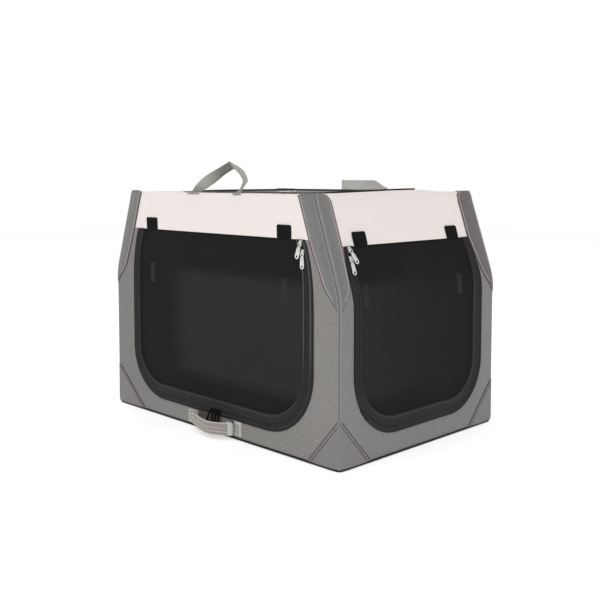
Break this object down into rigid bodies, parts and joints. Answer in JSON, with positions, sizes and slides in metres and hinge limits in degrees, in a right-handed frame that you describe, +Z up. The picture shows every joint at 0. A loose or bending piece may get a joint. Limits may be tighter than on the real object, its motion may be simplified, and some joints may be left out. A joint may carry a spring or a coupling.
{
  "type": "folding pet carrier",
  "caption": "Soft-sided folding carrier for a dog, with a knee-jointed tube frame, zipped mesh doors, a roof hatch and webbing handles.",
  "frame": {"origin": "centre of the underside of the floor cover", "axes": "+X along the long front towards the end with the door, +Z up, the front door faces -Y"},
  "size_m": [0.758, 0.5581, 0.5938],
  "materials": {
    "grey_fabric": "matt woven polyester",
    "dark_fabric": "matt coated cloth",
    "white_fabric": "matt off-white cloth",
    "black_mesh": "open mesh in a black tape border",
    "black_fabric": "matt cloth",
    "webbing": "ribbed webbing",
    "steel_tube": "grey powder coat",
    "pin_steel": "plain rivet",
    "zip_metal": "bright plate",
    "black_plastic": "moulded, matt",
    "board": "cloth over a padded board"
  },
  "bodies": {
    "shell": {"base_rail_front": "steel_tube", "base_rail_back": "steel_tube", "base_corner_front_right": "black_plastic", "base_corner_front_left": "black_plastic", "base_corner_back_right": "black_plastic", "base_corner_back_left": "black_plastic", "floor_cover": "black_fabric", "floor_board": "board", "front_panel": "grey_fabric", "back_panel": "grey_fabric", "right_panel": "grey_fabric", "left_panel": "grey_fabric", "front_yoke": "white_fabric", "back_yoke": "white_fabric", "right_yoke": "white_fabric", "left_yoke": "white_fabric", "corner_patch_front_right": "dark_fabric", "corner_patch_front_left": "dark_fabric", "corner_patch_back_right": "dark_fabric", "corner_patch_back_left": "dark_fabric", "back_window": "black_mesh", "left_window": "black_mesh", "carry_handle_webbing": "webbing"},
    "right_lower": {"lower_hoop_right": "steel_tube", "knee_joint_front_right": "black_plastic", "knee_joint_back_right": "black_plastic", "knee_pin_front_right": "pin_steel", "knee_pin_back_right": "pin_steel"},
    "right_upper": {"upper_hoop_right": "steel_tube"},
    "top": {"top_rail_front": "steel_tube", "top_rail_back": "steel_tube", "top_corner_front_right": "black_plastic", "top_corner_front_left": "black_plastic", "top_corner_back_right": "black_plastic", "top_corner_back_left": "black_plastic", "roof_panel": "white_fabric"},
    "left_lower": {"lower_hoop_left": "steel_tube", "knee_joint_front_left": "black_plastic", "knee_joint_back_left": "black_plastic", "knee_pin_front_left": "pin_steel", "knee_pin_back_left": "pin_steel"},
    "left_upper": {"upper_hoop_left": "steel_tube"},
    "front_leaf": {"front_door": "black_mesh"},
    "right_leaf": {"right_door": "black_mesh"},
    "roof_leaf": {"roof_hatch": "black_mesh"},
    "front_strap": {"front_strap_handle": "webbing"},
    "back_strap": {"back_strap_handle": "webbing"},
    "grip": {"carry_handle": "webbing"},
    "front_zip_a": {"front_zip_a_slider": "zip_metal"},
    "front_tab_a": {"front_zip_a_pull": "zip_metal"},
    "front_zip_b": {"front_zip_b_slider": "zip_metal"},
    "front_tab_b": {"front_zip_b_pull": "zip_metal"},
    "right_zip_a": {"right_zip_a_slider": "zip_metal"},
    "right_tab_a": {"right_zip_a_pull": "zip_metal"},
    "right_zip_b": {"right_zip_b_slider": "zip_metal"},
    "right_tab_b": {"right_zip_b_pull": "zip_metal"},
    "roof_zip_a": {"roof_zip_a_slider": "zip_metal"},
    "roof_tab_a": {"roof_zip_a_pull": "zip_metal"},
    "roof_zip_b": {"roof_zip_b_slider": "zip_metal"},
    "roof_tab_b": {"roof_zip_b_pull": "zip_metal"}
  },
  "joints": [
    {"name": "frame_fold", "type": "hinge", "parent": "shell", "child": "right_lower", "pos_m": [0.36, 0, 0.0236], "axis": [0, -1, 0], "range_deg": [0, 83], "deforming": ["front_panel", "back_panel", "right_panel", "left_panel", "front_yoke", "back_yoke", "right_yoke", "left_yoke", "corner_patch_front_right", "corner_patch_front_left", "corner_patch_back_right", "corner_patch_back_left", "back_window", "left_window", "front_door", "right_door"]},
    {"name": "right_knee", "type": "hinge", "parent": "right_lower", "child": "right_upper", "pos_m": [0.36, 0, 0.3106], "axis": [0, 1, 0], "range_deg": [0, 188.2]},
    {"name": "roof_level", "type": "hinge", "parent": "right_upper", "child": "top", "pos_m": [0.28978, 0, 0.5157], "axis": [0, -1, 0], "range_deg": [0, 105.2]},
    {"name": "left_fold", "type": "hinge", "parent": "shell", "child": "left_lower", "pos_m": [-0.36, 0, 0.0236], "axis": [0, 1, 0], "range_deg": [0, 83.2]},
    {"name": "left_knee", "type": "hinge", "parent": "left_lower", "child": "left_upper", "pos_m": [-0.36, 0, 0.3106], "axis": [0, -1, 0], "range_deg": [0, 188.2]},
    {"name": "front_door_open", "type": "hinge", "parent": "shell", "child": "front_leaf", "pos_m": [0, -0.2575, 0.44235], "axis": [1, 0, 0], "range_deg": [-120, 0]},
    {"name": "right_door_open", "type": "hinge", "parent": "shell", "child": "right_leaf", "pos_m": [0.3452, 0, 0.42986], "axis": [0, 1, 0], "range_deg": [-120, 0]},
    {"name": "roof_hatch_open", "type": "hinge", "parent": "top", "child": "roof_leaf", "pos_m": [0.21001, 0, 0.53], "axis": [0, -1, 0], "range_deg": [-110, 0]},
    {"name": "front_strap_swing", "type": "hinge", "parent": "top", "child": "front_strap", "pos_m": [0, -0.2425, 0.535], "axis": [1, 0, 0], "range_deg": [-70, 70]},
    {"name": "back_strap_swing", "type": "hinge", "parent": "top", "child": "back_strap", "pos_m": [0, 0.2425, 0.535], "axis": [1, 0, 0], "range_deg": [-80, 80]},
    {"name": "carry_handle_swing", "type": "hinge", "parent": "shell", "child": "grip", "pos_m": [0, -0.2651, 0.025], "axis": [1, 0, 0], "range_deg": [-60, 0]},
    {"name": "front_zip_a_slide", "type": "slide", "parent": "front_leaf", "child": "front_zip_a", "axis": [-0.067, 0, 0.9978], "range_m": [-0.235, 0]},
    {"name": "front_zip_b_slide", "type": "slide", "parent": "front_leaf", "child": "front_zip_b", "axis": [-0.0542, 0, 0.9985], "range_m": [-0.235, 0]},
    {"name": "right_zip_a_slide", "type": "slide", "parent": "right_leaf", "child": "right_zip_a", "axis": [-0.3207, 0.14, 0.9368], "range_m": [-0.04, 0]},
    {"name": "right_zip_b_slide", "type": "slide", "parent": "right_leaf", "child": "right_zip_b", "axis": [-0.322, 0.108, 0.9405], "range_m": [-0.04, 0]},
    {"name": "roof_zip_a_slide", "type": "slide", "parent": "roof_leaf", "child": "roof_zip_a", "axis": [1, 0, 0], "range_m": [-0.3, 0]},
    {"name": "roof_zip_b_slide", "type": "slide", "parent": "roof_leaf", "child": "roof_zip_b", "axis": [1, 0, 0], "range_m": [-0.3, 0]},
    {"name": "front_tab_a_swing", "type": "hinge", "parent": "front_zip_a", "child": "front_tab_a", "pos_m": [0.27355, -0.2618, 0.436], "axis": [0.9541, 0, -0.2996], "range_deg": [-170, 0]},
    {"name": "front_tab_b_swing", "type": "hinge", "parent": "front_zip_b", "child": "front_tab_b", "pos_m": [0.27977, -0.2618, 0.418], "axis": [1, 0, 0], "range_deg": [-160, 0]},
    {"name": "right_tab_a_swing", "type": "hinge", "parent": "right_zip_a", "child": "right_tab_a", "pos_m": [0.35144, -0.20126, 0.42489], "axis": [-0.1491, 0.8877, 0.4356], "range_deg": [-170, 0]},
    {"name": "right_tab_b_swing", "type": "hinge", "parent": "right_zip_b", "child": "right_tab_b", "pos_m": [0.3576, -0.2043, 0.40689], "axis": [0, 1, 0], "range_deg": [-160, 0]},
    {"name": "roof_tab_a_swing", "type": "hinge", "parent": "roof_zip_a", "child": "roof_tab_a", "pos_m": [0.17601, -0.18, 0.5343], "axis": [0.5948, -0.8039, 0], "range_deg": [-170, 0]},
    {"name": "roof_tab_b_swing", "type": "hinge", "parent": "roof_zip_b", "child": "roof_tab_b", "pos_m": [0.15601, -0.18, 0.5343], "axis": [0, -1, 0], "range_deg": [-160, 0]}
  ],
  "couplings": [
    {"joint": "right_knee", "follows": "frame_fold", "ratio": 2.265},
    {"joint": "roof_level", "follows": "frame_fold", "ratio": 1.265},
    {"joint": "left_fold", "follows": "frame_fold", "ratio": 1},
    {"joint": "left_knee", "follows": "frame_fold", "ratio": 2.265},
    {"joint": "front_zip_a_slide", "follows": "front_zip_b_slide", "ratio": 1},
    {"joint": "right_zip_a_slide", "follows": "right_zip_b_slide", "ratio": 1},
    {"joint": "roof_zip_a_slide", "follows": "roof_zip_b_slide", "ratio": 1}
  ]
}
